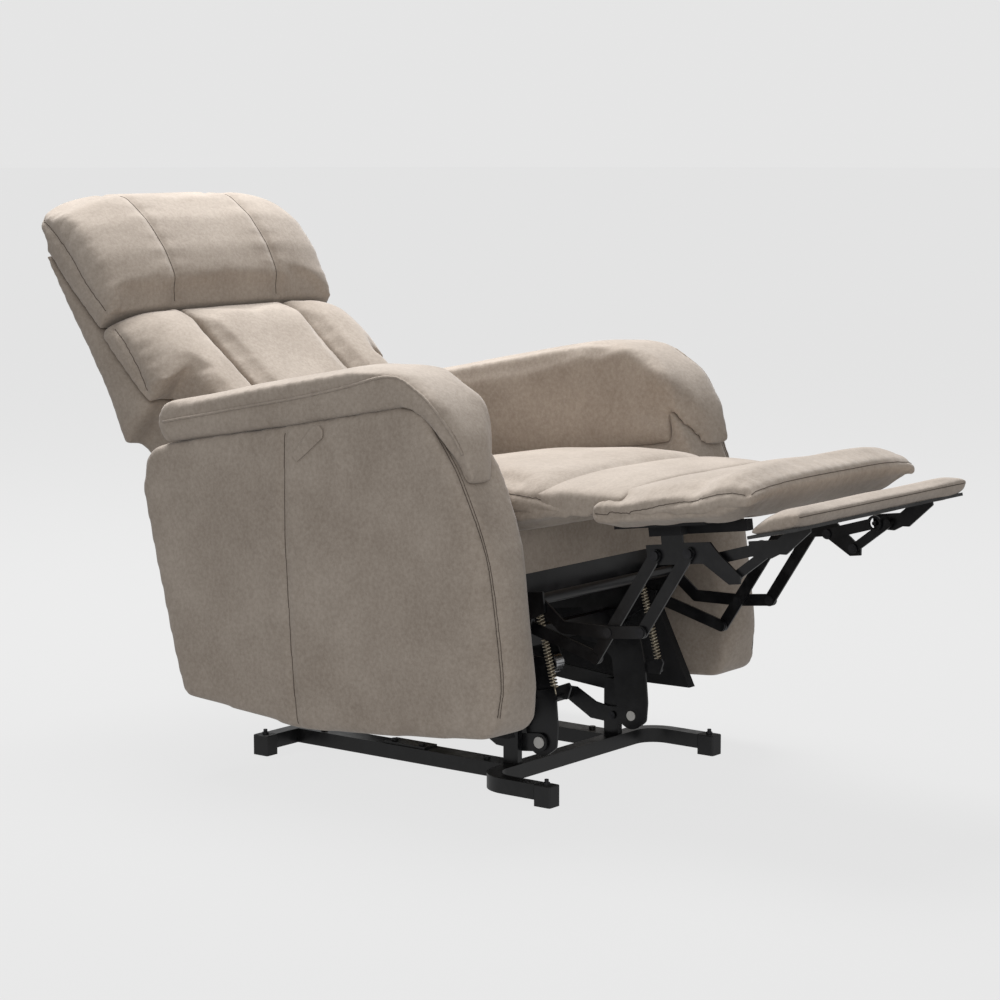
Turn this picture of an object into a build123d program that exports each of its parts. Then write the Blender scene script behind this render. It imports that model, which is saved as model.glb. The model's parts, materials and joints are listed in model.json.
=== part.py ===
"""Lift recliner chair: a seat on a lifting base, with a folding footrest and a reclining back.

Millimetres. +Z is up, the chair faces -Y, X runs across the chair and x = 0 is its middle.
The chair is modelled as it stands with its footrest out, its back reclined and its lift at the bottom.
Everything above the base is drawn level and then tipped back by REST_TILT about the X axis.
"""
from build123d import *
import math
import os

# ---- driving dimensions ---------------------------------------------------------------------
REST_TILT = 7.5          # how far the seat leans back at the bottom of the lift, degrees
BASE_WIDTH = 500         # across the outer faces of the feet
BASE_LENGTH = 643        # front of the front feet to the back of the rear feet
ARM_INNER = 256          # half the space between the arms
ARM_THICKNESS = 128
SEAT_HALF = 252          # half-width of the seat cushion
CHAISE_HALF = 262        # half-width of the footrest pads
SEAT_DEPTH = 513         # length of the seat cushion, front to back
BACK_LOW_HALF = 246      # half-width of the back between the arms
BACK_HALF = 303          # half-width of the back above the arms
BACK_ANGLE = 45.7        # slope of the reclined back's front face, degrees from level
CHANNEL_HALF = 135       # half-width of the back's middle channel
TUBE = 25                # square tube of the base
FOOT_HEIGHT = 35
PLATE = 4                # thickness of the mechanism's plates and bars
BAR_WIDTH = 20           # width of the footrest's flat bars
PIN_R = 5                # radius of the mechanism's rivets
RUNNING = 0.1            # radial clearance of a turning pin
PLY = 18                 # thickness of the wooden frame boards
CLEAR = 0.3              # gap between soft parts and what moves past them

# ---- pivots, as (y, z) ----------------------------------------------------------------------
# Base and lift, as they stand at rest on the floor.
LIFT_PIVOT = (149, 69)
LIFT_BUSHING = (106, 74)
LIFT_TAIL = (245, 95)
REAR_ARM_FOOT = (143.3, 119)
REAR_ARM_TOP = (520.8, 149.1)
REAR_ARM_EYE = (519.97, 149.68)
REAR_ARM_SLACK = 3.5
ACTUATOR_TAIL = (600, 62)
ACTUATOR_NOSE = (180, 175)
ACTUATOR_EYE = (180.43, 177.88)
ACTUATOR_SLACK = 3.6
# Seat and footrest, drawn level.
FOLD_AXIS = (-75.6, 458.4)
C_REAR = (25.3, 330.4)
C_BEND = (-20, 285)
C_MID = (-108.3, 274.8)
C_END = (-171.3, 273.3)
A_FOOT = (-73.3, 233.1)
A_TOP = (-210.2, 392.9)
B_TOP = (-273.9, 394.0)
D_REAR = (60.4, 288.7)
TOP_SLACK = 1.8
FOOT_SLACK = 2.2
FLIP_LOW = (-351, 355.4)
FLIP_HIGH = (-307.7, 381.9)
FLAP_REAR = (-397.8, 395.6)
FLAP_FRONT = (-418.5, 393.8)
FLIP_SLACK = 5.3
FLAP_PIN_R = 3.5
BACK_HINGE = (560, 440)
SPRING_FOOT = (40, 163.6)
SPRING_HEAD = (61, 327)

# ---- layers of the mechanism, as the distance of each bar's inner face from the middle ------
LIFT_PLATE_X = 127
CRANK_X = 132.5
UPRIGHT_X = 137.5
UPRIGHT_W = 12
REAR_ARM_X = UPRIGHT_X + UPRIGHT_W + 2
REAR_BRACKET_X = REAR_ARM_X + PLATE + 2.5
FLIP_HIGH_X = 168
FLIP_LOW_X = 173.5
BRACKET_X = 179
BAR_X = 184.5
C_BAR_X = 190
SIDE_X = 196
ANCHOR_X = 149


# ---- helpers --------------------------------------------------------------------------------
def side_plane(x):
    """The plane across the chair at x, drawn in (y, z)."""
    return Plane(origin=(x, 0, 0), x_dir=(0, 1, 0), z_dir=(1, 0, 0))


def slab(points, x0, x1, radius=None):
    """A plate or block with the outline `points` in (y, z), from x0 to x1."""
    if radius is None:
        face = Polygon(*points, align=None)
    else:
        radii = radius if isinstance(radius, (list, tuple)) else [radius] * len(points)
        face = make_face(FilletPolyline(*points, radius=list(radii), close=True))
    return extrude(side_plane(x0) * face, x1 - x0, dir=(1, 0, 0))


def disc(point, x0, x1, radius):
    """A pin, washer or boss along X at the (y, z) point."""
    return extrude(side_plane(x0) * Pos(*point) * Circle(radius), x1 - x0)


def bar(start, end, x0, width=BAR_WIDTH, holes=(PIN_R + RUNNING, PIN_R + RUNNING), thick=PLATE):
    """A flat bar with round ends and a hole at each of its two pivots."""
    dy, dz = end[0] - start[0], end[1] - start[1]
    middle = Pos((start[0] + end[0]) / 2, (start[1] + end[1]) / 2)
    turn = Rot(0, 0, math.degrees(math.atan2(dz, dy)))
    face = middle * turn * SlotCenterToCenter(math.hypot(dy, dz), width)
    solid = extrude(side_plane(x0) * face, thick)
    for point, radius in zip((start, end), holes):
        if radius:
            solid -= disc(point, x0 - 1, x0 + thick + 1, radius)
    return solid


def rivet(point, x0, x1, radius=PIN_R, head=8, head_thick=3):
    """A pin along X from x0 to x1, with a head past its outer end."""
    return disc(point, x0, x1, radius) + disc(point, x1, x1 + head_thick, head)


def box(x0, x1, y0, y1, z0, z1):
    return Pos((x0 + x1) / 2, (y0 + y1) / 2, (z0 + z1) / 2) * Box(x1 - x0, y1 - y0, z1 - z0)


def square_tube_x(x0, x1, y, z, size, wall=2):
    """A square tube along X, centred on (y, z)."""
    half, bore = size / 2, size / 2 - wall
    return (box(x0, x1, y - half, y + half, z - half, z + half)
            - box(x0 - 1, x1 + 1, y - bore, y + bore, z - bore, z + bore))


def mirrored(solid):
    return mirror(solid, about=Plane.YZ)


def group(*solids):
    """Separate solids that share one node."""
    return Compound([part for shape in solids for part in shape.solids()])


def pair(*solids):
    """Right-hand solids and their mirror images, in one node."""
    return group(*solids, *[mirrored(solid) for solid in solids])


def tipped(point):
    """The rest place of a (y, z) point that was drawn level."""
    angle = math.radians(REST_TILT)
    return (point[0] * math.cos(angle) + point[1] * math.sin(angle),
            -point[0] * math.sin(angle) + point[1] * math.cos(angle))


def levelled(point):
    """The level place of a (y, z) point that is given at rest."""
    angle = math.radians(REST_TILT)
    return (point[0] * math.cos(angle) - point[1] * math.sin(angle),
            point[0] * math.sin(angle) + point[1] * math.cos(angle))


def on_back(u, w):
    """The level (y, z) of a point u up the back from its hinge and w forward of it."""
    angle = math.radians(BACK_ANGLE)
    return (BACK_HINGE[0] + u * math.cos(angle) - w * math.sin(angle),
            BACK_HINGE[1] + u * math.sin(angle) + w * math.cos(angle))


base = {}        # nodes that stand at rest as they are drawn
level = {}       # nodes that are drawn level and then tipped back


def both_sides(table, name, solid):
    """Store the right-hand (+X) solid and its mirror image as two nodes."""
    table["right_" + name] = solid
    table["left_" + name] = mirrored(solid)


# ---- base frame -----------------------------------------------------------------------------
def make_base():
    half = BASE_WIDTH / 2
    foot_w, foot_l = 28, 33
    leg_x = half - foot_w / 2
    tube_z = FOOT_HEIGHT - TUBE / 2
    front_y, bend = 148.5, 50
    rear_y = BASE_LENGTH - 17
    path = FilletPolyline((-leg_x, foot_l, tube_z), (-leg_x, front_y, tube_z),
                          (leg_x, front_y, tube_z), (leg_x, foot_l, tube_z), radius=bend)
    start = Plane(origin=(-leg_x, foot_l, tube_z), z_dir=(0, 1, 0))
    outer = sweep(start * Rectangle(TUBE, TUBE), path=path)
    inner = sweep(start * Rectangle(TUBE - 4, TUBE - 4), path=path)
    base["base_front_tube"] = outer - inner
    rear_half = half - foot_w
    base["base_rear_tube"] = square_tube_x(-rear_half, rear_half, rear_y, tube_z, TUBE)

    feet, bolts = [], []
    for x in (-leg_x, leg_x):
        for y in (foot_l / 2, rear_y):
            block = Pos(x, y, FOOT_HEIGHT / 2) * Box(foot_w, foot_l, FOOT_HEIGHT)
            block = fillet(block.edges().filter_by(Axis.Z), 3)
            feet.append(chamfer(block.faces().sort_by(Axis.Z)[-1].edges(), 1.2))
            bolts.append(Pos(x, y, FOOT_HEIGHT + 2) * Cylinder(5.5, 4)
                         + Pos(x, y, FOOT_HEIGHT + 6.5) * Cylinder(3.5, 5))
    base["base_feet"] = group(*feet)
    base["foot_bolts"] = group(*bolts)

    rail_y0, rail_y1 = front_y + TUBE / 2, rear_y - TUBE / 2
    for_rail = box(125, 165, rail_y0 + 2, rail_y1 - 2, FOOT_HEIGHT - TUBE, FOOT_HEIGHT)
    for_rail -= box(127, 163, rail_y0, rail_y1, FOOT_HEIGHT - TUBE + 2, FOOT_HEIGHT - 2)
    ends = []
    for y0, y1 in ((rail_y0, rail_y0 + 2), (rail_y1 - 2, rail_y1)):
        ends.append(box(125, 165, y0, y1, FOOT_HEIGHT - TUBE, FOOT_HEIGHT))
    straps = box(128, 162, 330, 420, FOOT_HEIGHT, FOOT_HEIGHT + 4)
    screws = []
    for y in (205, 345, 405, 565):
        lift = 4 if 330 < y < 420 else 0
        screws.append(Pos(150, y, FOOT_HEIGHT + lift + 2) * Cylinder(6, 4))
    base["base_side_rails"] = pair(for_rail, straps, *ends, *screws)

    pivot_y, pivot_z = LIFT_PIVOT
    ear_y, ear_z = REAR_ARM_FOOT
    upright = slab([(pivot_y - 8, FOOT_HEIGHT), (pivot_y + 22, FOOT_HEIGHT), (pivot_y + 22, ear_z + 13),
                    (ear_y - 12, ear_z + 13), (ear_y - 12, ear_z - 12), (pivot_y - 8, ear_z - 22)],
                   UPRIGHT_X, UPRIGHT_X + UPRIGHT_W, [0.5, 0.5, 8, 10, 4, 4])
    base["uprights"] = pair(upright)
    pin = disc(LIFT_PIVOT, CRANK_X - 1, UPRIGHT_X, PIN_R)
    pin += disc(LIFT_PIVOT, CRANK_X - 3.5, CRANK_X - 1, 7)
    ear = rivet(REAR_ARM_FOOT, UPRIGHT_X + UPRIGHT_W, REAR_ARM_X + PLATE + 1, PIN_R + 1)
    base["lift_pivot_pins"] = pair(pin, ear)

    tail_y, tail_z = ACTUATOR_TAIL
    cheek = slab([(rear_y - TUBE / 2, FOOT_HEIGHT - TUBE), (rear_y - TUBE / 2, tail_z - 6),
                  (tail_y, tail_z + 12), (tail_y - 14, tail_z), (tail_y - 10, FOOT_HEIGHT - TUBE + 14)],
                 16, 16 + PLATE)
    cheek -= disc(ACTUATOR_TAIL, 15, 21, PIN_R)
    tail_pin = disc(ACTUATOR_TAIL, -20, 20, PIN_R) + disc(ACTUATOR_TAIL, 20, 23, 8)
    base["actuator_bracket"] = group(cheek, mirrored(cheek), tail_pin)


# ---- lift linkage ---------------------------------------------------------------------------
def make_lift():
    crank = bar(LIFT_BUSHING, LIFT_PIVOT, CRANK_X, 30, (PIN_R + RUNNING, PIN_R + RUNNING))
    tail_y, tail_z = LIFT_TAIL
    arm = slab([(142, 58), (160, 56), (196, 58), (tail_y - 4, tail_z - 12), (tail_y + 12, tail_z - 2),
                (tail_y + 4, tail_z + 14), (tail_y - 18, tail_z + 14), (186, 88), (160, 84), (142, 84)],
               CRANK_X, CRANK_X + PLATE)
    arm -= disc(LIFT_PIVOT, CRANK_X - 1, CRANK_X + 5, PIN_R + RUNNING)
    tube = disc(LIFT_TAIL, -CRANK_X, CRANK_X, 9) - disc(LIFT_TAIL, -CRANK_X - 1, CRANK_X + 1, 7)
    base["lift_crank"] = group(crank + arm, mirrored(crank + arm), tube)

    rear = bar(REAR_ARM_FOOT, REAR_ARM_EYE, REAR_ARM_X, 26, (PIN_R + 1 + RUNNING, 0))
    rear -= disc(REAR_ARM_EYE, REAR_ARM_X - 1, REAR_ARM_X + 5, PIN_R + 1 + REAR_ARM_SLACK)
    tie = tuple(foot + 0.92 * (eye - foot) for foot, eye in zip(REAR_ARM_FOOT, REAR_ARM_EYE))
    tube = disc(tie, -REAR_ARM_X, REAR_ARM_X, 8) - disc(tie, -REAR_ARM_X - 1, REAR_ARM_X + 1, 6)
    base["rear_lift_arms"] = group(rear, mirrored(rear), tube)

    ty, tz = ACTUATOR_TAIL
    ny, nz = ACTUATOR_EYE
    length = math.hypot(ny - ty, nz - tz)
    rise = math.degrees(math.atan2(nz - tz, ny - ty))
    frame = Plane(origin=(0, ty, tz), x_dir=(1, 0, 0), z_dir=(0, math.cos(math.radians(rise)),
                                                             math.sin(math.radians(rise))))

    def along(start, end, radius):
        return frame * Pos(0, 0, (start + end) / 2) * Cylinder(radius, end - start)

    clevis = frame * Pos(0, 0, 12) * Box(24, 24, 48) - disc(ACTUATOR_TAIL, -20, 20, PIN_R + RUNNING)
    gearbox = fillet((frame * Pos(0, -12, 66) * Box(58, 78, 60)).edges(), 6)
    sleeve = along(96, 262, 19) - along(95, 263, 14)
    motor = frame * Pos(0, -44, 140) * Cylinder(21, 88)
    base["actuator_gearbox"] = clevis + gearbox
    base["actuator_sleeve"] = sleeve
    base["actuator_motor"] = motor
    rod = along(150, length - 16, 10)
    nose = disc(ACTUATOR_EYE, -11, 11, 17) - disc(ACTUATOR_EYE, -12, 12, PIN_R + ACTUATOR_SLACK)
    rod -= disc(ACTUATOR_EYE, -12, 12, 16)
    base["actuator_rod"] = rod + nose


# ---- seat frame and lift plates, drawn level ------------------------------------------------
def make_chassis():
    bush = levelled(LIFT_BUSHING)
    plate = slab([(61, 225), (56, 173), (59, 109), (66, 76), (97, 58), (124, 78), (124, 190), (150, 214),
                  (185, 222), (185, 236), (120, 236)], LIFT_PLATE_X, LIFT_PLATE_X + PLATE,
                 [4, 30, 30, 12, 28, 12, 12, 12, 3, 0.5, 0.5])
    plate -= disc(bush, LIFT_PLATE_X - 1, LIFT_PLATE_X + 5, 8.5)
    bushing = disc(bush, LIFT_PLATE_X - 2, CRANK_X, 8.5)
    bushing += disc(bush, CRANK_X, CRANK_X + PLATE, PIN_R) + disc(bush, CRANK_X + PLATE, CRANK_X + PLATE + 3, 9.5)
    level["lift_bushings"] = pair(bushing)
    anchor = slab([(99, 163), (109, 172), (66, 176), (24, 186), (20, 178), (30, 158), (66, 163)],
                  LIFT_PLATE_X + PLATE, LIFT_PLATE_X + 2 * PLATE, 3)
    stub = disc(SPRING_FOOT, LIFT_PLATE_X + 2 * PLATE, ANCHOR_X + 3, 4)
    level["lift_plates"] = pair(plate, anchor + stub)
    washer = disc((104.5, 168.1), LIFT_PLATE_X + 2 * PLATE, LIFT_PLATE_X + 2 * PLATE + 2, 11)
    washer += disc((104.5, 168.1), LIFT_PLATE_X + 2 * PLATE + 2, LIFT_PLATE_X + 2 * PLATE + 6, 6)
    stop = disc((119.4, 119.6), LIFT_PLATE_X + PLATE, UPRIGHT_X - 0.8, 6)
    level["lift_plate_bolts"] = pair(washer, stop)

    side = slab([(8, 310), (8, 344), (60, 344), (62, 331), (615, 331), (615, 245), (470, 245), (430, 270),
                 (230, 270), (200, 230), (140, 230), (120, 268), (45, 270), (36, 300)],
                SIDE_X, SIDE_X + PLATE)
    level["side_plates"] = pair(side)
    lift_tube = square_tube_x(-SIDE_X, SIDE_X, 170, 251, 30)
    rear_tube = square_tube_x(-SIDE_X, SIDE_X, 497, 265, 30)
    top = levelled(REAR_ARM_TOP)
    bracket = slab([(top[0] - 15, 250), (top[0] + 15, 250), (top[0] + 13, top[1] - 6), (top[0], top[1] - 13),
                    (top[0] - 13, top[1] - 6)], REAR_BRACKET_X, REAR_BRACKET_X + PLATE)
    pin = disc(top, REAR_ARM_X - 1, REAR_BRACKET_X, PIN_R + 1) + disc(top, REAR_ARM_X - 3.5, REAR_ARM_X - 1, 13)
    level["cross_tubes"] = group(lift_tube, rear_tube, bracket + pin, mirrored(bracket + pin))
    nose = levelled(ACTUATOR_NOSE)
    cheek = slab([(155, 236), (185, 236), (nose[0] + 11, nose[1] - 6), (nose[0] - 2, nose[1] - 12),
                  (nose[0] - 13, nose[1])], 14, 14 + PLATE)
    cheek -= disc(nose, 13, 19, PIN_R)
    nose_pin = disc(nose, -18, 18, PIN_R) + disc(nose, 18, 21, 8)
    level["actuator_nose_bracket"] = group(cheek, mirrored(cheek), nose_pin)

    level["front_cross_rail"] = (box(-249, 249, 70, 92, 331, 371) - box(-250, 250, 72, 90, 333, 369))
    level["rear_cross_rail"] = (box(-249, 249, 590, 615, 331, 371) - box(-250, 250, 592, 613, 333, 369))
    rail = box(ARM_INNER - 7 - PLY, ARM_INNER - 7, 76, 615, 371, 413)
    level["seat_front_rail"] = box(-249, 249, 58, 76, 371.2, 455)
    rear_rail = box(-(ARM_INNER - 7 - PLY), ARM_INNER - 7 - PLY, 597, 615, 371, 413)
    level["seat_rails"] = group(rail, mirrored(rail), rear_rail)
    belts = [box(-248, 248, y - 25, y + 25, 413, 415.5) for y in (130, 215, 300, 385)]
    belts += [box(x - 25, x + 25, 80, 425, 415.5, 418) for x in (-170, -85, 0, 85, 170)]
    level["seat_webbing"] = group(*belts)

    hinge = slab([(520, 300), (610, 300), (610, 331), (590, 400), (574, 446), (560, 455), (546, 446), (520, 331)],
                 SIDE_X + PLATE, SIDE_X + 2 * PLATE)
    hinge -= box(SIDE_X, SIDE_X + 12, 589, 616, 330, 414)
    hinge -= disc(BACK_HINGE, SIDE_X, SIDE_X + 12, PIN_R + 1)
    pin = rivet(BACK_HINGE, SIDE_X + PLATE, SIDE_X + 3 * PLATE + 1, PIN_R + 1, 9)
    level["back_hinge_brackets"] = pair(hinge, pin)

    case = fillet(box(-75, 75, 395, 480, 281, 316).edges().filter_by(Axis.Z), 8)
    level["control_box"] = group(case, box(-SIDE_X, SIDE_X, 415, 460, 277, 281))
    socket = box(-14, 14, 480, 492, 290, 308) - box(-10, 10, 484, 493, 293, 305)
    level["power_inlet"] = socket

    springs = []
    sy, sz = SPRING_FOOT
    hy, hz = SPRING_HEAD
    span = math.hypot(hy - sy, hz - sz)
    axis = Plane(origin=(ANCHOR_X, sy, sz), z_dir=(0, (hy - sy) / span, (hz - sz) / span))
    coil = axis * Pos(0, 0, span / 2) * Cylinder(6.5, span - 34)
    coil += axis * Pos(0, 0, span / 2 + 0.25) * Cylinder(1.5, span - 7.5)
    level["tension_springs"] = pair(coil)


# ---- footrest -------------------------------------------------------------------------------
def make_footrest():
    run = PIN_R + RUNNING
    c_bar = bar(C_END, C_MID, C_BAR_X, holes=(0, 0))
    c_bar += bar(C_MID, C_BEND, C_BAR_X, holes=(0, 0)) + bar(C_BEND, C_REAR, C_BAR_X, holes=(0, 0))
    for point in (C_END, C_MID, C_REAR):
        c_bar -= disc(point, C_BAR_X - 1, C_BAR_X + 5, run)
    tube = disc(C_REAR, -C_BAR_X, C_BAR_X, 9) - disc(C_REAR, -C_BAR_X - 1, C_BAR_X + 1, 7)
    lug = bar(C_REAR, SPRING_HEAD, ANCHOR_X - 8, 12, (9, 0)) + disc(SPRING_HEAD, ANCHOR_X - 8, ANCHOR_X + 3, 3.5)
    a_bar = bar(A_FOOT, A_TOP, BAR_X, holes=(run, PIN_R + TOP_SLACK))
    a_bar -= disc(C_MID, BAR_X - 1, BAR_X + 5, run)
    level["b_links"] = pair(bar(C_END, B_TOP, BAR_X, holes=(run, PIN_R + TOP_SLACK)))
    level["d_links"] = pair(bar(D_REAR, A_FOOT, BRACKET_X, holes=(run, PIN_R + FOOT_SLACK)))

    pins = [disc(p, BAR_X - 1.3, C_BAR_X + PLATE, PIN_R) + disc(p, C_BAR_X + PLATE, C_BAR_X + PLATE + 1.5, 8)
            + disc(p, BAR_X - 1.3, BAR_X - 0.3, 8) for p in (C_MID, C_END)]
    level["c_links"] = group(c_bar, mirrored(c_bar), tube, lug, mirrored(lug))
    level["c_link_pins"] = pair(*pins)
    foot = disc(A_FOOT, BRACKET_X - 3, BAR_X + PLATE, PIN_R) + disc(A_FOOT, BAR_X + PLATE, BAR_X + PLATE + 1.2, 8)
    foot += disc(A_FOOT, BRACKET_X - 3, BRACKET_X - 0.4, 9)
    level["a_links"] = pair(a_bar, foot)
    rear_c = disc(C_REAR, C_BAR_X - 1, SIDE_X, PIN_R)
    rear_d = disc(D_REAR, FLIP_LOW_X, BRACKET_X + PLATE + 0.8, PIN_R)
    rear_d += disc(D_REAR, BRACKET_X + PLATE + 0.8, BRACKET_X + PLATE + 3.3, 8)
    ear = slab([(50, 280), (50, 298), (68, 300), (185, 236), (155, 236)], FLIP_LOW_X, FLIP_LOW_X + PLATE, 0.4)
    ear -= box(FLIP_LOW_X - 1, FLIP_LOW_X + PLATE + 1, 155, 186, 235, 266)
    level["footrest_pivot_pins"] = pair(rear_c, ear + rear_d)

    bracket = slab([(-192, 410), (-192, 378), (-296, 377), (-340, 343), (-360, 343), (-362, 356), (-326, 392),
                    (-312, 410), (-262, 411), (-262, 423), (-222, 423), (-222, 410)],
                   BRACKET_X, BRACKET_X + PLATE)
    level["footrest_brackets"] = pair(bracket)
    tops = [disc(p, BRACKET_X + PLATE, BAR_X + PLATE + 0.8, PIN_R) + disc(p, BAR_X + PLATE + 0.8, C_BAR_X + 2, 8)
            for p in (A_TOP, B_TOP)]
    level["footrest_rails"] = pair(box(148, 166, -372, -200, 423, 440.7) + box(166, 183, -262, -200, 423, 440.7))
    level["footrest_board"] = box(-225, 225, -335, -165, 440.7, 448.7)

    level["flip_low_links"] = pair(bar(FLIP_LOW, FLAP_FRONT, FLIP_LOW_X, 15))
    high = bar(FLIP_HIGH, FLAP_REAR, FLIP_HIGH_X, 18, (run, 0))
    high += disc(FLAP_REAR, FLIP_HIGH_X, FLIP_HIGH_X + PLATE, FLAP_PIN_R + FLIP_SLACK + 4)
    high -= disc(FLAP_REAR, FLIP_HIGH_X - 1, FLIP_HIGH_X + 5, FLAP_PIN_R + FLIP_SLACK)
    level["flip_high_links"] = pair(high)
    tops += [disc(p, x - 1, BRACKET_X, PIN_R) + disc(p, x - 3.5, x - 1, 8)
             for p, x in ((FLIP_LOW, FLIP_LOW_X), (FLIP_HIGH, FLIP_HIGH_X))]
    level["footrest_bracket_pins"] = pair(*tops)

    plate = slab([(-387, 409), (-387, 386), (-424, 381), (-440, 387), (-452, 386), (-499, 418.5),
                  (-499, 424.2), (-455, 420.1), (-438, 409)], BAR_X, BAR_X + PLATE)
    front = disc(FLAP_FRONT, FLIP_LOW_X - 0.4, BAR_X, PIN_R)
    front += disc(FLAP_FRONT, FLIP_LOW_X - 1.2, FLIP_LOW_X - 0.4, 7)
    rear = disc(FLAP_REAR, FLIP_HIGH_X - 1, BAR_X, FLAP_PIN_R)
    level["flap_brackets"] = pair(plate + front + rear)
    level["flap_board"] = slab([(-430, 418), (-516, 426), (-515.5, 431), (-429.5, 423)],
                               -CHAISE_HALF + 6, CHAISE_HALF - 6)
    level["flap_pad"] = slab([(-429.5, 423.2), (-443, 438), (-480, 452), (-526, 456), (-530, 446), (-515.5, 431.2)],
                             -CHAISE_HALF, CHAISE_HALF)
    pad = slab([(-140, 464), (-150, 449), (-378, 449), (-424, 462), (-447, 484), (-444, 500), (-420, 509),
                (-357, 512), (-244, 505), (-170, 494), (-142, 486)], -CHAISE_HALF, CHAISE_HALF)
    for x0, x1 in ((164, 192), (-192, -164)):        # the folded flap's links reach up into these
        pad -= box(x0, x1, -392, -340, 440, 468)
    level["chaise_pad"] = pad


# ---- seat cushion and arms ------------------------------------------------------------------
def make_seat_and_arms():
    front, rear = -88, -88 + SEAT_DEPTH
    level["seat_cushion"] = slab([(front, 474), (-60, 462), (57, 455.3), (77, 455.3), (82, 418.3), (rear - 6, 418.3),
                                  (rear, 440), (rear, 516), (380, 535), (200, 540), (60, 532), (-40, 518),
                                  (front, 500)], -SEAT_HALF, SEAT_HALF)

    outer = ARM_INNER + ARM_THICKNESS
    profile = slab([(0, 131), (-38, 230), (-37, 400), (18, 560), (80, 668), (330, 655), (690, 636), (708, 560),
                    (684, 372), (663, 208), (413, 152), (237, 137)], ARM_INNER, outer,
                   [28, 60, 200, 120, 50, 5, 50, 30, 60, 18, 60, 60])
    nose_y, shoulder_y = -38, 22
    middle = (ARM_INNER + outer) / 2

    def plan(grow_in, grow_out):
        """The arm seen from above, with its rounded front, grown a little on each side."""
        x0, x1 = ARM_INNER - grow_in, outer + grow_out
        sides = Polyline((x1, shoulder_y), (x1, 760), (x0, 760), (x0, shoulder_y))
        return extrude(make_face(sides + ThreePointArc((x0, shoulder_y), (middle, nose_y - grow_out), (x1, shoulder_y))),
                       800)

    cover = profile & plan(0, 0)
    board = slab([(54, 116), (124, 317), (124, 417), (600, 417), (600, 205), (413, 160), (202, 133)],
                 ARM_INNER - 6, ARM_INNER - 6 + PLY)
    pocket = box(ARM_INNER - 10, ARM_INNER - 6 + PLY, -60, 760, 100, 417)
    cap = slab([(636, 638), (330, 654), (110, 664), (66, 645), (34, 596), (12, 528), (-5, 534), (6, 604),
                (40, 668), (112, 721), (210, 731), (430, 719), (636, 704), (652, 672)],
               ARM_INNER - 2, outer + 4, [8, 5, 30, 40, 60, 3, 5, 60, 60, 60, 40, 40, 25, 14])
    cap = (cap & plan(2, 4)) - cover
    flank = slab([(636, 530), (46, 545), (48, 597), (69, 648), (120, 700), (636, 690)], ARM_INNER - 2, ARM_INNER + 24,
                 [8, 4, 20, 40, 20, 5])
    nose = Polyline((ARM_INNER - 10, 36), (outer + 10, -46), (outer + 10, -120), (ARM_INNER - 10, -120),
                    (ARM_INNER - 10, 36))
    both_sides(level, "arm_pad", cap - extrude(make_face(nose), 800) + flank)
    both_sides(level, "arm_cover", cover - pocket - flank)
    both_sides(level, "arm_frame", board)
    level["pull_loop"] = slab([(338, 590), (348, 602), (297, 646), (283, 648), (274, 638), (277, 626)],
                              -outer - 3.8, -outer - CLEAR, [2, 3, 6, 4, 4, 6])


# ---- back -----------------------------------------------------------------------------------
def back_slab(points, x0, x1):
    return slab([on_back(u, w) for u, w in points], x0, x1)


def make_back():
    seam_u, foot_w, foot_u = 487, 122, -31
    bottom = lambda w: foot_u + (foot_w - w) * 0.567
    face = lambda u: 30 + 0.124 * u                      # front of the frame
    low, step = BACK_LOW_HALF, 322
    frame_t = 22
    rail_x0 = SIDE_X + 3 * PLATE
    rail = back_slab([(45, face(45) - frame_t), (45, face(45)), (640, face(640)), (640, face(640) - frame_t)],
                     rail_x0, rail_x0 + 26)
    rungs = []
    for u in (160, 330, 590):
        rungs.append(back_slab([(u, face(u) - frame_t), (u, face(u)), (u + 40, face(u + 40)),
                                (u + 40, face(u + 40) - frame_t)], -rail_x0, rail_x0))
    level["back_frame"] = group(rail, mirrored(rail), *rungs)
    plate = slab([on_back(u, w) for u, w in ((-9, -10), (-12, 2), (-4, 11), (60, 34.5), (150, 46), (150, 27.5),
                                             (62, 17), (9, -9))], SIDE_X + 2 * PLATE, SIDE_X + 3 * PLATE)
    plate -= disc(BACK_HINGE, SIDE_X, SIDE_X + 16, PIN_R + 1 + RUNNING)
    level["back_brackets"] = pair(plate)

    def stepped(points, inner, half_low, half_high):
        """A solid from x = inner outwards, narrower below the step."""
        whole = back_slab(points, inner, half_high)
        beyond = [(-200, -300), (step, -300), (step, 300), (-200, 300)]
        whole -= back_slab(beyond, half_low, half_high + 5)
        if inner < 0:
            whole -= back_slab(beyond, -half_high - 5, -half_low)
        return whole

    behind = lambda u: face(u) - frame_t - CLEAR
    shell = [(bottom(20), 20 - frame_t), (115, -128), (330, -52), (400, -16), (500, 22), (600, 56), (684, 84),
             (690, behind(690)), (60, behind(60))]
    level["back_shell"] = stepped(shell, -BACK_HALF + 5, low, BACK_HALF - 5)
    front = CLEAR
    lumbar = [(bottom(33), face(bottom(33)) + front), (foot_u, foot_w), (40, 138), (250, 140), (440, 138),
              (seam_u, foot_w), (seam_u, face(seam_u) + front)]
    level["back_center_pad"] = back_slab(lumbar, -CHANNEL_HALF, CHANNEL_HALF)
    both_sides(level, "back_side_pad", stepped(lumbar, CHANNEL_HALF + CLEAR, low, BACK_HALF))
    head = [(seam_u + 2, face(seam_u) + 2), (seam_u + 2, 124), (520, 152), (575, 176), (640, 190), (710, 188),
            (765, 158), (762, 128), (722, 110), (692, face(690) - 2), (660, face(660) + CLEAR + 1)]
    level["headrest"] = back_slab(head, -BACK_HALF, BACK_HALF)


make_base()
make_lift()
make_chassis()
make_footrest()
make_seat_and_arms()
make_back()

tip = Rot(-REST_TILT, 0, 0)
nodes = dict(base)
for name, solid in level.items():
    nodes[name] = tip * solid

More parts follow.
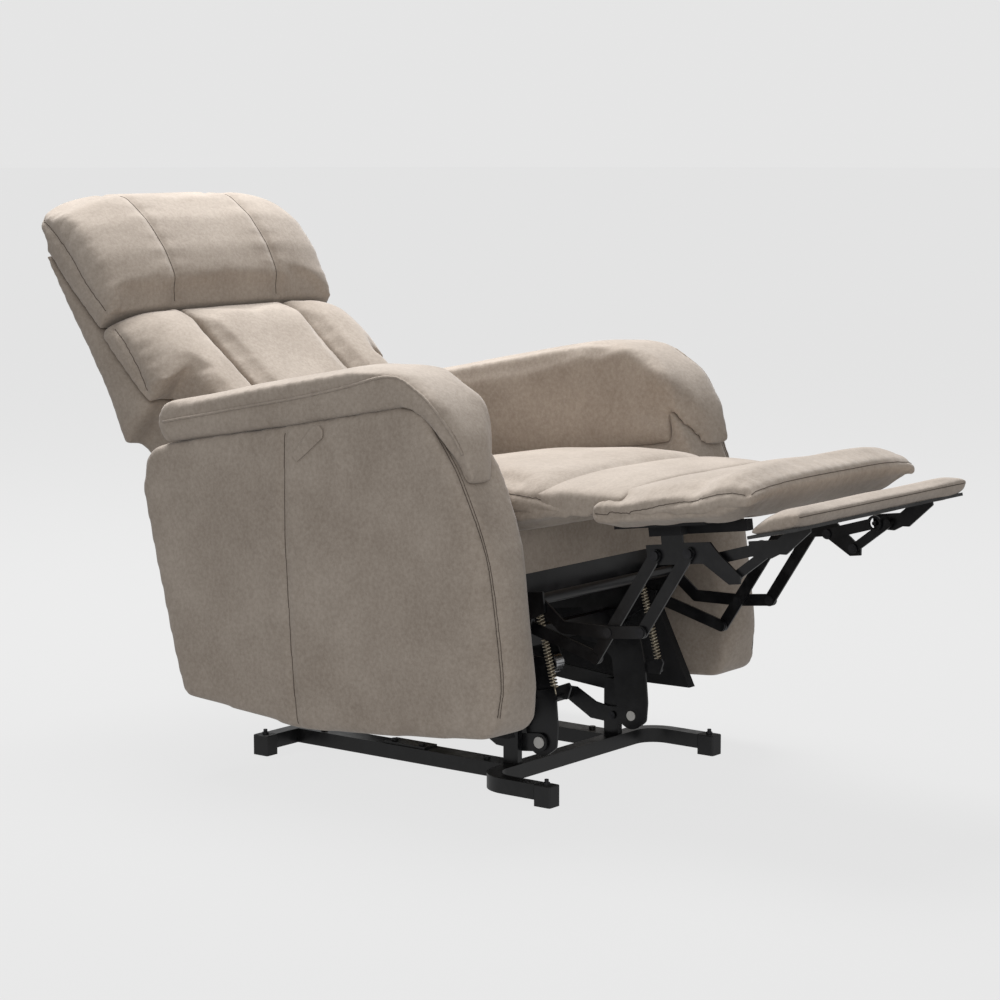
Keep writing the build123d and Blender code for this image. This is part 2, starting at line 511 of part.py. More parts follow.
# The origin is under the middle of the whole chair, on the floor.
boxes = [solid.bounding_box() for solid in nodes.values()]
MIDDLE_Y = (min(b.min.Y for b in boxes) + max(b.max.Y for b in boxes)) / 2
os.makedirs("parts", exist_ok=True)
for name, solid in nodes.items():
    export_step(Pos(0, -MIDDLE_Y, 0) * solid, "parts/" + name + ".step")
print("nodes", len(nodes), "middle y", round(MIDDLE_Y, 3))
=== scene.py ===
"""Lift recliner chair: upholstery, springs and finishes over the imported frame."""
import bmesh
import bpy
import json
import math
from mathutils import Matrix, Vector, kdtree, noise
from mathutils.bvhtree import BVHTree


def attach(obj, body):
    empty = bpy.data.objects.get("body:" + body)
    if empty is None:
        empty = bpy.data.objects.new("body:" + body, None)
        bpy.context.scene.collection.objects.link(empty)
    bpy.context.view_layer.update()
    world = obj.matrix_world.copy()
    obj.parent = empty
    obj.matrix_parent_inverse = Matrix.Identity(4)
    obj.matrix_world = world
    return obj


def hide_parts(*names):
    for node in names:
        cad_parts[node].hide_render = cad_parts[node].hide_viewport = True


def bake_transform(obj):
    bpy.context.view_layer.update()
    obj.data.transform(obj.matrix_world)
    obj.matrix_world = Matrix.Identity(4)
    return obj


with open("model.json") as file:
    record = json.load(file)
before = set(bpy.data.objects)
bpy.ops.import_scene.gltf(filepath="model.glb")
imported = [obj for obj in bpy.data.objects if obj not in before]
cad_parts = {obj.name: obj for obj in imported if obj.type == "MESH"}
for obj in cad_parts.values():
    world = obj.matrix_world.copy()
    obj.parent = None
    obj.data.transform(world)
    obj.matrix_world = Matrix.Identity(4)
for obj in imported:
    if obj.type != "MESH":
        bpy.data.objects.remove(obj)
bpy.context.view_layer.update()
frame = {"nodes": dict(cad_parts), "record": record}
nodes = frame["nodes"]
scene = bpy.context.scene

MIDDLE_Y = 332.528                     # mm from the front feet to the origin
TILT = math.radians(7.5)               # the seat leans back by this at rest
BACK_HINGE = (560.0, 440.0)            # (y, z) on the level seat, in mm
BACK_SLOPE = math.radians(45.7)
SIDES = ((-1, "left"), (1, "right"))
STITCH_GAP = 0.004                     # m between the points of a seam
SEAM_REACH = 0.055                     # m from a seam where the cover stops moving
PUCKER_REACH = 0.014                   # m from a seam where its puckers stand highest
CLOTH_FRAMES = 20
FRAME_VOXEL = 0.010                    # m, for covers stretched over a board or a frame
PAD_VOXEL = 0.007                      # m, for stuffed covers


# ---- places -----------------------------------------------------------------------------------
def seat(x, y, z):
    """A point drawn on the level seat, in mm, as it stands at rest, in metres."""
    return Vector((x, y * math.cos(TILT) + z * math.sin(TILT) - MIDDLE_Y,
                   -y * math.sin(TILT) + z * math.cos(TILT))) / 1000


def on_seat(point):
    """The level (x, y, z) in mm of a point of the model."""
    x, y, z = point * 1000
    y += MIDDLE_Y
    return x, y * math.cos(TILT) - z * math.sin(TILT), y * math.sin(TILT) + z * math.cos(TILT)


def back(x, u, w):
    """A point u up the back from its hinge and w in front of it, in mm."""
    return seat(x, BACK_HINGE[0] + u * math.cos(BACK_SLOPE) - w * math.sin(BACK_SLOPE),
                BACK_HINGE[1] + u * math.sin(BACK_SLOPE) + w * math.cos(BACK_SLOPE))


def on_back(point):
    """The (x, u, w) in mm of a point of the model."""
    x, y, z = on_seat(point)
    dy, dz = y - BACK_HINGE[0], z - BACK_HINGE[1]
    return (x, dy * math.cos(BACK_SLOPE) + dz * math.sin(BACK_SLOPE),
            -dy * math.sin(BACK_SLOPE) + dz * math.cos(BACK_SLOPE))


# ---- shader expressions -----------------------------------------------------------------------
class Value:
    """A socket that Python's operators can be used on."""

    def __init__(self, finish, socket):
        self.finish, self.socket = finish, socket

    def _math(self, operation, first, second):
        return self.finish.node("ShaderNodeMath", {"operation": operation}, {0: first, 1: second})

    def __add__(self, other): return self._math("ADD", self, other)
    def __radd__(self, other): return self._math("ADD", other, self)
    def __mul__(self, other): return self._math("MULTIPLY", self, other)
    def __rmul__(self, other): return self._math("MULTIPLY", other, self)


class Finish:
    """A material and the nodes in it."""

    def __init__(self, name, roughness, metallic=0.0, sheen=0.0):
        self.material = bpy.data.materials.new(name)
        self.material.use_nodes = True
        self.tree = self.material.node_tree
        self.shader = self.tree.nodes["Principled BSDF"]
        self.set("Roughness", roughness)
        self.set("Metallic", metallic)
        self.set("Sheen Weight", sheen)
        self.set("Sheen Roughness", 0.45)
        self.place = self.node("ShaderNodeTexCoord", {}, {}, "Object")

    def fill(self, socket, value):
        if isinstance(value, Value):
            self.tree.links.new(value.socket, socket)
        else:
            socket.default_value = value

    def node(self, kind, settings, inputs, output=0):
        """A new node: its settings first, then the values or links of its sockets."""
        made = self.tree.nodes.new(kind)
        for key, value in settings.items():
            setattr(made, key, value)
        for key, value in inputs.items():
            self.fill(made.inputs[key], value)
        return Value(self, made.outputs[output])

    def set(self, name, value):
        self.fill(self.shader.inputs[name], value)

    def noise(self, scale, detail=2.0, roughness=0.5, stretch=None):
        place = self.place
        if stretch:
            place = self.node("ShaderNodeMapping", {}, {"Vector": place, "Scale": stretch})
        return self.node("ShaderNodeTexNoise", {},
                         {"Vector": place, "Scale": scale, "Detail": detail, "Roughness": roughness}, "Fac")

    def ramp(self, value, low, high):
        return self.node("ShaderNodeMapRange", {"clamp": True},
                         {"Value": value, "From Min": low, "From Max": high})

    def mix(self, amount, first, second):
        """Two colours mixed; 6 and 7 are the Mix node's colour sockets and 2 its colour result."""
        return self.node("ShaderNodeMix", {"data_type": "RGBA"}, {"Factor": amount, 6: first, 7: second}, 2)

    def bump(self, height, strength, distance):
        bumped = self.node("ShaderNodeBump", {},
                           {"Height": height, "Strength": strength, "Distance": distance}, "Normal")
        self.set("Normal", bumped)


def microfibre(name, dark, light, sheen=0.25):
    """Brushed upholstery: soft blotches where the pile lies over, small flecks and fine fibres."""
    cloth = Finish(name, 0.9, sheen=sheen)
    blotch = cloth.ramp(cloth.noise(9.0, 3.0, 0.6), 0.3, 0.7)
    fleck = cloth.ramp(cloth.noise(150.0, 4.0, 0.7), 0.34, 0.66)
    fibre = cloth.noise(900.0, 2.0)
    cloth.set("Base Color", cloth.mix(blotch * 0.4 + fleck * 0.42 + fibre * 0.18, dark, light))
    cloth.set("Roughness", 0.84 + fleck * 0.12)
    cloth.bump(fleck * 0.55 + fibre * 0.45, 0.35, 0.0006)
    return cloth.material


def woven(name, dark, light, scale=420.0):
    """Plain woven cloth, with threads both ways."""
    cloth = Finish(name, 0.92)
    warp, weft = (cloth.node("ShaderNodeTexWave", {"bands_direction": across},
                             {"Vector": cloth.place, "Scale": scale, "Distortion": 0.6}, "Fac")
                  for across in "XZ")
    wear = cloth.ramp(cloth.noise(30.0, 3.0), 0.3, 0.7)
    cloth.set("Base Color", cloth.mix(warp * weft * 0.6 + wear * 0.4, dark, light))
    cloth.bump(warp * weft, 0.3, 0.0005)
    return cloth.material


def powder_coat(name, colour, lighter, roughness=0.36):
    """Satin powder coat, with a faint orange-peel surface and rubbed patches."""
    coat = Finish(name, roughness)
    peel = coat.noise(520.0, 2.0)
    rub = coat.ramp(coat.noise(38.0, 4.0, 0.65), 0.45, 0.8)
    coat.set("Base Color", coat.mix(rub, colour, lighter))
    coat.set("Roughness", roughness - 0.05 + rub * 0.16)
    coat.bump(peel, 0.12, 0.0004)
    return coat.material


def bare_metal(name, dark, light, roughness):
    """Plated or drawn metal with fine streaks."""
    metal = Finish(name, roughness, metallic=1.0)
    streak = metal.noise(160.0, 3.0, 0.6, (1.0, 6.0, 6.0))
    cloud = metal.ramp(metal.noise(55.0, 3.0), 0.3, 0.7)
    metal.set("Base Color", metal.mix(cloud * 0.6 + streak * 0.4, dark, light))
    metal.set("Roughness", roughness + streak * 0.14)
    metal.bump(streak, 0.08, 0.0003)
    return metal.material


def moulded(name, colour, lighter, roughness):
    """Moulded plastic or rubber with a fine grain."""
    skin = Finish(name, roughness)
    grain = skin.noise(700.0, 2.0)
    patch = skin.ramp(skin.noise(24.0, 3.0), 0.35, 0.7)
    skin.set("Base Color", skin.mix(patch, colour, lighter))
    skin.set("Roughness", roughness + patch * 0.1)
    skin.bump(grain, 0.18, 0.0004)
    return skin.material


def sawn_wood(name, dark, light):
    """Plain frame timber, with its grain along the board."""
    wood = Finish(name, 0.7)
    grain = wood.noise(26.0, 5.0, 0.6, (14.0, 1.0, 6.0))
    wood.set("Base Color", wood.mix(wood.ramp(grain, 0.3, 0.7), dark, light))
    wood.bump(grain, 0.2, 0.0006)
    return wood.material


finishes = {
    "upholstery": microfibre("upholstery", (0.265, 0.215, 0.172, 1), (0.47, 0.405, 0.345, 1)),
    "shell_fabric": microfibre("shell_fabric", (0.25, 0.203, 0.163, 1), (0.44, 0.378, 0.32, 1)),
    "board_fabric_black": woven("board_fabric_black", (0.006, 0.006, 0.007, 1), (0.03, 0.03, 0.032, 1)),
    "flap_board_grey": woven("flap_board_grey", (0.03, 0.03, 0.03, 1), (0.1, 0.1, 0.1, 1)),
    "webbing": woven("webbing", (0.02, 0.02, 0.02, 1), (0.09, 0.09, 0.09, 1), 240.0),
    "base_black": powder_coat("base_black", (0.006, 0.006, 0.0065, 1), (0.016, 0.016, 0.017, 1)),
    "mechanism_black": powder_coat("mechanism_black", (0.005, 0.005, 0.006, 1), (0.018, 0.018, 0.019, 1),
                                   0.33),
    "zinc_steel": bare_metal("zinc_steel", (0.4, 0.34, 0.25, 1), (0.66, 0.6, 0.48, 1), 0.3),
    "pivot_steel": bare_metal("pivot_steel", (0.03, 0.03, 0.033, 1), (0.09, 0.09, 0.095, 1), 0.4),
    "chrome_rod": bare_metal("chrome_rod", (0.55, 0.55, 0.57, 1), (0.75, 0.75, 0.76, 1), 0.12),
    "nylon_white": moulded("nylon_white", (0.6, 0.59, 0.56, 1), (0.75, 0.74, 0.71, 1), 0.45),
    "plastic_black": moulded("plastic_black", (0.008, 0.008, 0.009, 1), (0.02, 0.02, 0.021, 1), 0.5),
    "foot_rubber": moulded("foot_rubber", (0.009, 0.009, 0.01, 1), (0.02, 0.02, 0.021, 1), 0.55),
    "frame_wood": sawn_wood("frame_wood", (0.3, 0.18, 0.09, 1), (0.56, 0.4, 0.24, 1)),
}
thread_finish = microfibre("seam_thread", (0.07, 0.055, 0.044, 1), (0.13, 0.105, 0.085, 1), 0.0)
bodies = frame["record"]["behaviour"]["bodies"]
body_of = {node: name for name, members in bodies.items() for node in members}
slot_of = {part["node"]: part["material_slot"] for part in frame["record"]["subparts"]}


def paint(thing, finish):
    if not thing.material_slots:
        thing.data.materials.append(finish)
    for place in thing.material_slots:
        place.material = finish


for node, thing in nodes.items():
    paint(thing, finishes[slot_of[node]])


# ---- making pieces ----------------------------------------------------------------------------
def piece_from(name, bm, finish, body):
    """A new piece from a bmesh, painted and riding on its body."""
    mesh = bpy.data.meshes.new(name)
    bm.to_mesh(mesh)
    bm.free()
    piece = bpy.data.objects.new(name, mesh)
    scene.collection.objects.link(piece)
    paint(piece, finish)
    for polygon in mesh.polygons:
        polygon.use_smooth = True
    if body:
        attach(piece, body)
    return piece


def settle(piece):
    """Applies the piece's modifiers to its mesh."""
    shape = bpy.data.meshes.new_from_object(piece.evaluated_get(bpy.context.evaluated_depsgraph_get()))
    piece.modifiers.clear()
    piece.data = shape
    for polygon in shape.polygons:
        polygon.use_smooth = True


def even_out(piece, voxel, rounding):
    """Remeshes the piece in even faces and rounds its edges."""
    remesh = piece.modifiers.new("even", "REMESH")
    remesh.mode, remesh.voxel_size = "VOXEL", voxel
    settle(piece)
    smooth(piece, rounding)


def subdivide(piece):
    finer = piece.modifiers.new("finer", "SUBSURF")
    finer.levels = finer.render_levels = 1
    settle(piece)


def smooth(piece, times):
    bm = bmesh.new()
    bm.from_mesh(piece.data)
    for _ in range(times):
        bmesh.ops.smooth_vert(bm, verts=bm.verts, factor=0.5, use_axis_x=True, use_axis_y=True,
                              use_axis_z=True)
    bm.to_mesh(piece.data)
    bm.free()


def sculpt(piece, change):
    """Moves each point of the piece to change(point, normal)."""
    bm = bmesh.new()
    bm.from_mesh(piece.data)
    bm.normal_update()
    moved = [change(vert.co.copy(), vert.normal.copy()) for vert in bm.verts]
    for vert, place in zip(bm.verts, moved):
        vert.co = place
    bm.to_mesh(piece.data)
    bm.free()


def inflate(piece, pressure, cap):
    """Fills the cover: cloth under pressure from inside. A point moves out by at most cap, and hardly in."""
    start = [(vert.co.copy(), vert.normal.copy()) for vert in piece.data.vertices]
    cloth = piece.modifiers.new("cover", "CLOTH")
    cloth.settings.use_pressure = True
    cloth.settings.uniform_pressure_force = pressure
    cloth.settings.effector_weights.gravity = 0
    cloth.settings.quality = 4
    cloth.settings.tension_stiffness = cloth.settings.compression_stiffness = 20
    cloth.collision_settings.use_collision = False
    cloth.point_cache.frame_start, cloth.point_cache.frame_end = 1, CLOTH_FRAMES
    for step in range(1, CLOTH_FRAMES + 1):
        scene.frame_set(step)
    settle(piece)
    scene.frame_set(1)
    sink, range_held = 0.004, 0.006        # m: a point that sinks this far is held, over this range
    for vert, (place, normal) in zip(piece.data.vertices, start):
        move = vert.co - place
        held = max(0.0, min(1.0, (move.dot(normal) + sink) / range_held))
        vert.co = place + move * held * min(1.0, cap / max(move.length, 1e-6))


def upholster(node, voxel=PAD_VOXEL, rounding=6, shrink=0.002, pressure=4.0, cap=0.012, shape=None):
    """The stuffed cover that stands for a plain CAD solid. With no pressure it is stretched, not filled."""
    bm = bmesh.new()
    bm.from_mesh(nodes[node].data)
    bmesh.ops.remove_doubles(bm, verts=bm.verts, dist=1e-5)
    bmesh.ops.recalc_face_normals(bm, faces=bm.faces)
    name = node + ("_cloth" if node.endswith("cover") else "_cover")
    piece = piece_from(name, bm, finishes[slot_of[node]], None)
    even_out(piece, voxel, rounding)
    if shape:
        sculpt(piece, shape)
    if pressure:
        sculpt(piece, lambda point, normal: point - normal * shrink)
        inflate(piece, pressure, cap)
        smooth(piece, 3)
    subdivide(piece)
    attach(piece, body_of[node])
    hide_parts(node)
    return piece


def spaced(path):
    """Points about STITCH_GAP apart along a smooth line through path."""
    points = []
    ends = [path[0] * 2 - path[1]] + path + [path[-1] * 2 - path[-2]]
    for a, b, c, d in zip(ends, ends[1:], ends[2:], ends[3:]):
        count = max(1, int((c - b).length / STITCH_GAP))
        for step in range(count):
            t = step / count
            points.append(0.5 * ((2 * b) + (c - a) * t + (2 * a - 5 * b + 4 * c - d) * t ** 2
                                 + (3 * b - a - 3 * c + d) * t ** 3))
    return points + [path[-1]]


def on_surface(piece, path, rise=0.0):
    """The path's points moved to the nearest place on the piece."""
    bm = bmesh.new()
    bm.from_mesh(piece.data)
    tree = BVHTree.FromBMesh(bm)
    found = []
    for point in path:
        place, normal, _, _ = tree.find_nearest(point)
        found.append(place + normal * rise)
    bm.free()
    return found


def line(name, points, radius, finish, body):
    """A thread or a piping cord along the points."""
    curve = bpy.data.curves.new(name, "CURVE")
    curve.dimensions, curve.use_fill_caps = "3D", True
    curve.bevel_depth, curve.bevel_resolution = radius, 2
    spline = curve.splines.new("POLY")
    spline.points.add(len(points) - 1)
    for place, point in zip(spline.points, points):
        place.co = (*point, 1)
    drawn = bpy.data.objects.new(name, curve)
    scene.collection.objects.link(drawn)
    mesh = bpy.data.meshes.new_from_object(drawn.evaluated_get(bpy.context.evaluated_depsgraph_get()))
    bpy.data.objects.remove(drawn)
    bm = bmesh.new()
    bm.from_mesh(mesh)
    bmesh.ops.remove_doubles(bm, verts=bm.verts, dist=1e-6)
    bmesh.ops.recalc_face_normals(bm, faces=bm.faces)
    piece_from(name, bm, finish, body)


def sew(piece, name, path, body, depth=0.004, width=0.008, thread=0.0007, pucker=0.0, wave=0.03, piping=0.0):
    """Draws the cover in along a sewn line, with puckers beside it, and lays its thread or piping.

    The path is in metres, as are the line's depth and width, the thread's and piping's radius, the puckers'
    height and the wave from one pucker to the next.
    """
    points = on_surface(piece, spaced(path))
    near = kdtree.KDTree(len(points))
    for index, point in enumerate(points):
        near.insert(point, index)
    near.balance()
    low = [min(point[axis] for point in points) - SEAM_REACH for axis in range(3)]
    high = [max(point[axis] for point in points) + SEAM_REACH for axis in range(3)]

    def pull(point, normal):
        if any(point[axis] < low[axis] or point[axis] > high[axis] for axis in range(3)):
            return point
        _, index, away = near.find(point)
        if away > SEAM_REACH:
            return point
        drawn = -depth * math.exp(-(away / width) ** 2)
        if pucker:
            along = index * STITCH_GAP              # the second sine keeps the puckers uneven
            ripple = math.sin(2 * math.pi * along / wave + 1.7 * math.sin(along * 23))
            drawn += pucker * ripple * (away / PUCKER_REACH) * math.exp(1 - away / PUCKER_REACH) * 0.7
        return point + normal * drawn

    sculpt(piece, pull)
    if piping:
        line(name, on_surface(piece, points, piping * 0.45), piping, finishes["upholstery"], body)
    else:
        line(name, on_surface(piece, points, thread * 0.1), thread, thread_finish, body)


def soften(piece, amount=0.0016, scale=9.0):
    """Low, uneven swells, as hand-filled upholstery has."""
    sculpt(piece, lambda point, normal: point + normal * amount * noise.noise(point * scale))


# ---- seat and footrest ------------------------------------------------------------------------
SEAT_HALF, CHAISE_HALF, BRIDGE_HALF, HEAD_HALF = 252, 262, 246, 303      # mm from the middle to the side


def ridge(distance, reach):
    """1 on a line and falling smoothly to nothing beside it."""
    return math.exp(-(distance / reach) ** 2)


def crown_seat(point, normal):
    """Crowned across and along, with the front edge rolled down."""
    x, y, z = on_seat(point)
    if z > 480:
        across = 1 - (abs(x) / SEAT_HALF) ** 3
        z += 7 * across - 12 * (abs(x) / SEAT_HALF) ** 6
        if y < -20:
            z -= 0.001 * (y + 20) ** 2 * (1 - 0.4 * across)
    return seat(x, y, z)


def crown_chaise(point, normal):
    """The long pad: a dip behind, a full front roll, and sides that pull in."""
    x, y, z = on_seat(point)
    outward = (abs(x) / CHAISE_HALF) ** 4
    if z > 470:
        z -= 16 * outward
        z -= 9 * ridge(y + 335, 30) * (1 - 0.3 * outward)
        z += 6 * ridge(y + 405, 34) + 12 * ridge(y + 150, 34)
    x *= 1 - 0.03 * ridge(y + 444, 26)
    return seat(x, y, z)


seat_pad = upholster("seat_cushion", shape=crown_seat, rounding=8, cap=0.014)
soften(seat_pad)
for side, word in SIDES:
    sew(seat_pad, "seat_side_seam_" + word,
        [seat(side * (SEAT_HALF + 1), y, z) for y, z in
         ((400, 512), (300, 521), (160, 524), (40, 517), (-15, 505), (-72, 494))],
        "chassis", pucker=0.0008)

chaise = upholster("chaise_pad", shape=crown_chaise, rounding=8, cap=0.010)
soften(chaise)
for side, word in SIDES:
    sew(chaise, "chaise_side_seam_" + word,
        [seat(side * (CHAISE_HALF + 1), y, z) for y, z in
         ((-150, 470), (-190, 466), (-244, 472), (-300, 481), (-357, 489), (-405, 494), (-436, 494))],
        "footrest", pucker=0.0007)
sew(chaise, "chaise_front_seam", [seat(x, -446, 497) for x in range(-250, 251, 50)], "footrest",
    depth=0.003, pucker=0.0006)

flap = upholster("flap_pad", voxel=0.005, shrink=0.001, cap=0.007)
soften(flap)
sew(flap, "flap_front_seam", [seat(x, -531, 446) for x in range(-252, 253, 42)], "flap",
    depth=0.002, width=0.006)

def crown_bridge(point, normal):
    x, y, z = on_seat(point)
    if z > 480:
        z -= 20 * (abs(x) / BRIDGE_HALF) ** 4
    return seat(x, y, z)


# The cover runs on from the seat to the footrest, over a loose fold above the hinge line.
bridge_mesh = bmesh.new()
ring = [bridge_mesh.verts.new(seat(-BRIDGE_HALF, y, z)) for y, z in
        ((-30, 526), (-88, 527), (-140, 521), (-200, 511), (-200, 474), (-150, 462), (-96, 468), (-40, 486))]
grown = bmesh.ops.extrude_face_region(bridge_mesh, geom=[bridge_mesh.faces.new(ring)])
bmesh.ops.translate(bridge_mesh, vec=(2 * BRIDGE_HALF / 1000, 0, 0),
                    verts=[vert for vert in grown["geom"] if isinstance(vert, bmesh.types.BMVert)])
bmesh.ops.recalc_face_normals(bridge_mesh, faces=bridge_mesh.faces)
bridge = piece_from("footrest_bridge_cover", bridge_mesh, finishes["upholstery"], None)
even_out(bridge, PAD_VOXEL, 8)
sculpt(bridge, crown_bridge)
soften(bridge, 0.002)
subdivide(bridge)
tuple(seat(0, -60, 480))
tuple(seat(0, -165, 480))
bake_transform(bridge)


# ---- arms -------------------------------------------------------------------------------------
def arm_form(point, normal):
    """The outer panel bellies a little between its edges."""
    x, y, z = on_seat(point)
    if abs(x) > 340:
        belly = max(0.0, 1 - ((y - 330) / 360) ** 2) * max(0.0, 1 - ((z - 400) / 260) ** 2)
        x += math.copysign(5 * belly, x)
    return seat(x, y, z)


def pad_form(point, normal):
    """The pad's front tapers in over the rounded arm as it turns down."""
    x, y, z = on_seat(point)
    if y < 80 and z < 690:
        reach = 388 - 0.16 * (690 - z) * min(1.0, (80 - y) / 60)
        x = math.copysign(min(abs(x), reach), x)
    return seat(x, y, z)


for side, word in SIDES:
    cover = upholster(word + "_arm_cover", voxel=FRAME_VOXEL, rounding=5, pressure=0, shape=arm_form)
    soften(cover, 0.0022, 6.0)
    sew(cover, word + "_arm_panel_seam",
        [seat(side * 385, y, z) for y, z in
         ((363, 640), (372, 560), (382, 460), (389, 366), (396, 260), (402, 158))],
        "chassis", depth=0.003, width=0.007, pucker=0.0007, wave=0.05)
    for row in (0, 1):                                   # a double row of stitches, 7 mm apart
        sew(cover, word + "_arm_front_stitch_%d" % row,
            [seat(side * (372 - 7 * row), y + 3.5 * row, z) for y, z in
             ((52, 622), (30, 580), (8, 530), (-12, 470), (-26, 400), (-30, 300), (-28, 220), (-16, 165))],
            "chassis", depth=0.0016, width=0.005, thread=0.0006)
    pad = upholster(word + "_arm_pad", shape=pad_form, voxel=0.006, rounding=5, shrink=0.001, cap=0.006)
    soften(pad)
    sew(pad, word + "_arm_piping",
        [seat(side * 389, y, z) for y, z in
         ((630, 676), (489, 685), (330, 694), (221, 704), (124, 716), (80, 700), (48, 668), (22, 622),
          (8, 578))],
        "chassis", depth=0.002, piping=0.0022)


# ---- back -------------------------------------------------------------------------------------
def wrap_frame(x, u, w):
    """Outside the back frame the covers run on backwards to the shell, and close its sides."""
    front = 30 + 0.124 * u
    if w < front + 9 and u < 700:
        w -= 23 * max(0.0, min(1.0, (abs(x) - 234) / 8))
    return w


def fill_head(point, normal):
    """A pillow that rolls over the top, with rounded corners."""
    x, u, w = on_back(point)
    w = wrap_frame(x, u, w)
    edge = (abs(x) / HEAD_HALF) ** 5
    w -= 26 * edge * max(0.0, min(1.0, (w - 100) / 60))
    if u > 640:
        u -= 30 * edge * (u - 640) / 120
    x *= 1 - 0.05 * max(0.0, (u - 600) / 160)
    return back(x, u, w)


def fill_panel(point, normal):
    """The middle panel is fullest below the pillow."""
    x, u, w = on_back(point)
    return back(x, u, w + 5 * ridge(u - 420, 60) if w > 100 else w)


def fill_bolster(point, normal):
    """The side panels fall away towards the outer edge."""
    x, u, w = on_back(point)
    w = wrap_frame(x, u, w)
    if w > 60 + 0.05 * u and u > 300:
        w -= 34 * max(0.0, (abs(x) - 200) / 103) ** 2
    return back(x, u, w)


middle = upholster("back_center_pad", shape=fill_panel)
soften(middle)
for side, word in SIDES:
    panel = upholster(word + "_back_side_pad", shape=fill_bolster, cap=0.014)
    soften(panel)
    sew(panel, word + "_back_side_seam",
        [back(side * x, u, w) for x, u, w in
         ((303, 340, 66), (303, 380, 84), (303, 430, 100), (302, 476, 108))],
        "backrest", pucker=0.0007, wave=0.026)
head = upholster("headrest", shape=fill_head, rounding=8, cap=0.014)
soften(head)
for side, word in SIDES:
    sew(head, word + "_head_seam",
        [back(side * 135, u, w) for u, w in
         ((494, 130), (530, 158), (580, 180), (640, 192), (700, 192), (745, 172), (768, 145))],
        "backrest", depth=0.0035, width=0.009, pucker=0.0006)
for side, word in SIDES:
    sew(head, word + "_head_side_seam",
        [back(side * x, u, w) for x, u, w in
         ((300, 500, 112), (302, 560, 118), (302, 620, 130), (298, 680, 134), (294, 735, 132))],
        "backrest", pucker=0.0009, wave=0.026)

shell = upholster("back_shell", voxel=FRAME_VOXEL, rounding=4, pressure=0)
soften(shell, 0.002, 6.0)

upholster("pull_loop", voxel=0.0014, rounding=4, pressure=0)


# ---- springs ----------------------------------------------------------------------------------
def spring(name, x):
    """A close-wound tension spring between its two posts, with straight wire hooks."""
    foot, hook = seat(x, 40, 163.6), seat(x, 61, 327)
    length = (hook - foot).length
    wire, coil, post = 0.0012, 0.0056, 0.0035                # radii in metres
    tail, turns = 0.018, 24                                  # the straight ends in metres
    steps = 14 * turns
    bm = bmesh.new()
    bmesh.ops.create_circle(bm, segments=8, radius=wire, cap_ends=False,
                            matrix=Matrix.Translation((coil, 0, tail)) @ Matrix.Rotation(math.pi / 2, 4, "X"))
    bmesh.ops.spin(bm, geom=bm.verts[:] + bm.edges[:], cent=(0, 0, 0), axis=(0, 0, 1),
                   angle=2 * math.pi * turns, dvec=(0, 0, (length - 2 * tail) / steps), steps=steps,
                   use_merge=False)
    bmesh.ops.holes_fill(bm, edges=bm.edges, sides=8)
    for low, high, inner in ((post, tail + 0.001, tail),
                             (length - tail - 0.001, length - post, length - tail)):
        bmesh.ops.create_cone(bm, cap_ends=True, segments=8, radius1=wire, radius2=wire, depth=high - low,
                              matrix=Matrix.Translation((0, 0, (low + high) / 2)))
        across = Matrix.Translation((coil / 2, 0, inner)) @ Matrix.Rotation(math.pi / 2, 4, "Y")
        bmesh.ops.create_cone(bm, cap_ends=True, segments=8, radius1=wire, radius2=wire, depth=coil,
                              matrix=across)
    turn = (hook - foot).to_track_quat("Z", "X").to_matrix().to_4x4()
    bmesh.ops.transform(bm, matrix=Matrix.Translation(foot) @ turn, verts=bm.verts)
    bmesh.ops.recalc_face_normals(bm, faces=bm.faces)
    made = piece_from(name, bm, finishes["zinc_steel"], None)
    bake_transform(made)
    return made


left_spring = spring("left_spring_coil", -149)
spring("right_spring_coil", 149)
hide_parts("tension_springs")
paint(nodes["seat_front_rail"], finishes["upholstery"])


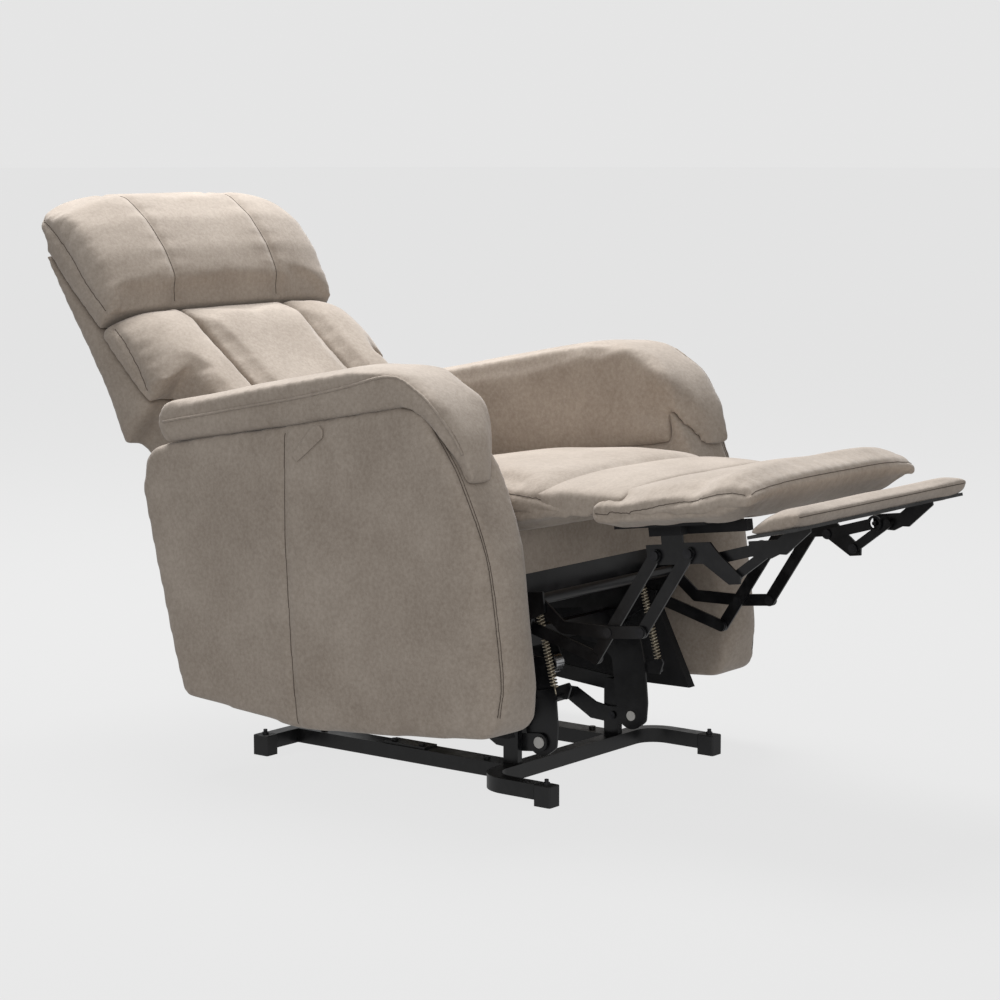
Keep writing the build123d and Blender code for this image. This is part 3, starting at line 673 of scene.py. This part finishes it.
# ---- floor, light and camera ------------------------------------------------------------------
def backdrop(name, bm, finish_name, roughness, grey, glow):
    """A glowing part of the studio that only the camera sees, so the chair is lit by the lamps."""
    mesh = bpy.data.meshes.new(name)
    bm.to_mesh(mesh)
    bm.free()
    piece = bpy.data.objects.new(name, mesh)
    scene.collection.objects.link(piece)
    finish = Finish(finish_name, roughness)
    finish.set("Base Color", (grey, grey, grey, 1))
    finish.set("Emission Color", (1, 1, 1, 1))
    finish.set("Emission Strength", glow)
    finish.set("Specular IOR Level", 0.0)
    paint(piece, finish.material)
    piece.visible_diffuse = piece.visible_shadow = piece.visible_glossy = False
    return piece


floor_mesh = bmesh.new()
bmesh.ops.create_circle(floor_mesh, cap_ends=True, segments=96, radius=60)
floor = backdrop("floor", floor_mesh, "pale_floor", 0.95, 0.045, 0.75)
floor.location = (0, 0, -0.0004)

wall_mesh = bmesh.new()
bmesh.ops.create_uvsphere(wall_mesh, u_segments=48, v_segments=24, radius=62)
bmesh.ops.reverse_faces(wall_mesh, faces=wall_mesh.faces)
backdrop("studio_wall", wall_mesh, "studio_white", 1.0, 0, 0.785)

world = bpy.data.worlds.new("studio")
scene.world = world
world.use_nodes = True
sky = world.node_tree.nodes["Background"]
sky.inputs["Color"].default_value = (0.80, 0.80, 0.80, 1)
sky.inputs["Strength"].default_value = 0.52


def softbox(name, place, aim, size, power):
    light = bpy.data.lights.new(name, "AREA")
    light.shape, light.size, light.energy = "DISK", size, power
    lamp = bpy.data.objects.new(name, light)
    lamp.location = place
    lamp.rotation_euler = (Vector(aim) - Vector(place)).to_track_quat("-Z", "Y").to_euler()
    scene.collection.objects.link(lamp)


softbox("key", (0.9, 1.7, 3.9), (0, -0.1, 0.4), 2.4, 285)
softbox("fill", (-3.6, -2.8, 1.9), (0, 0, 0.4), 2.6, 40)

turn, drop = math.radians(-52.298), math.radians(7.736)
ahead = Vector((-math.sin(turn) * math.cos(drop), math.cos(turn) * math.cos(drop), -math.sin(drop)))
right = Vector((math.cos(turn), math.sin(turn), 0))
aim = Matrix((right, right.cross(ahead), -ahead)).transposed().to_4x4()
lens = bpy.data.cameras.new("camera")
lens.sensor_width, lens.lens = 36.0, 101.02
lens.clip_end = 200
camera = bpy.data.objects.new("camera", lens)
camera.matrix_world = Matrix.Translation((-3.76484, -2.61646 - MIDDLE_Y / 1000, 1.09403)) @ aim
scene.collection.objects.link(camera)
scene.camera = camera
scene.view_settings.view_transform = "Standard"
